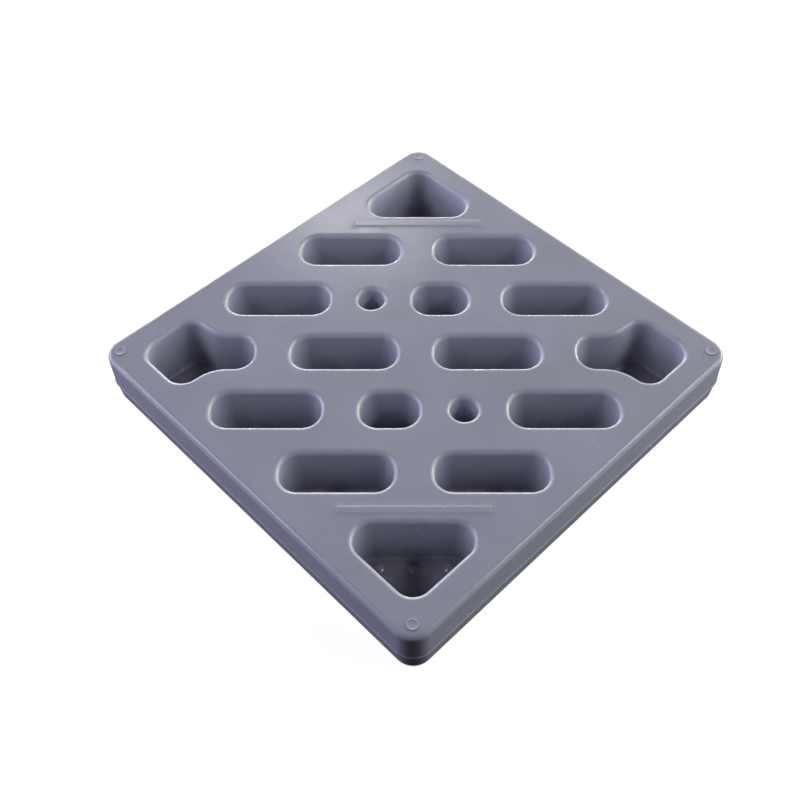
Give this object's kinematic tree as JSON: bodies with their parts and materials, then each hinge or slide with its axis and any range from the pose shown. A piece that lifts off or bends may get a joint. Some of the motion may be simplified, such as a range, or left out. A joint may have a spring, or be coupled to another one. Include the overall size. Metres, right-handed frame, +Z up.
{
  "type": "plastic pallet",
  "caption": "Square twin-shell plastic pallet: pocketed deck with diagonal slots and corner pockets, closed skirt with a parting line, flat base.",
  "frame": {"origin": "centre of the underside, on the surface the pallet stands on", "axes": "+Z up; +X and +Y along the square's sides; the rows of slots run along the diagonal between +X+Y and -X-Y"},
  "size_m": [1.1, 1.1, 0.15],
  "materials": {
    "upper_shell": "semi-gloss moulded grey polyethylene",
    "lower_shell": "semi-gloss moulded grey polyethylene",
    "cap": "semi-gloss moulded grey polyethylene",
    "plug": "semi-gloss moulded grey polyethylene"
  },
  "bodies": {
    "root": {"upper_shell": "upper_shell", "lower_shell": "lower_shell", "pocket_caps_front": "cap", "pocket_caps_rear": "cap", "pocket_caps_left": "cap", "pocket_caps_right": "cap", "deck_plug_front": "plug", "deck_plug_rear": "plug", "deck_plug_left": "plug", "deck_plug_right": "plug"}
  },
  "joints": []
}
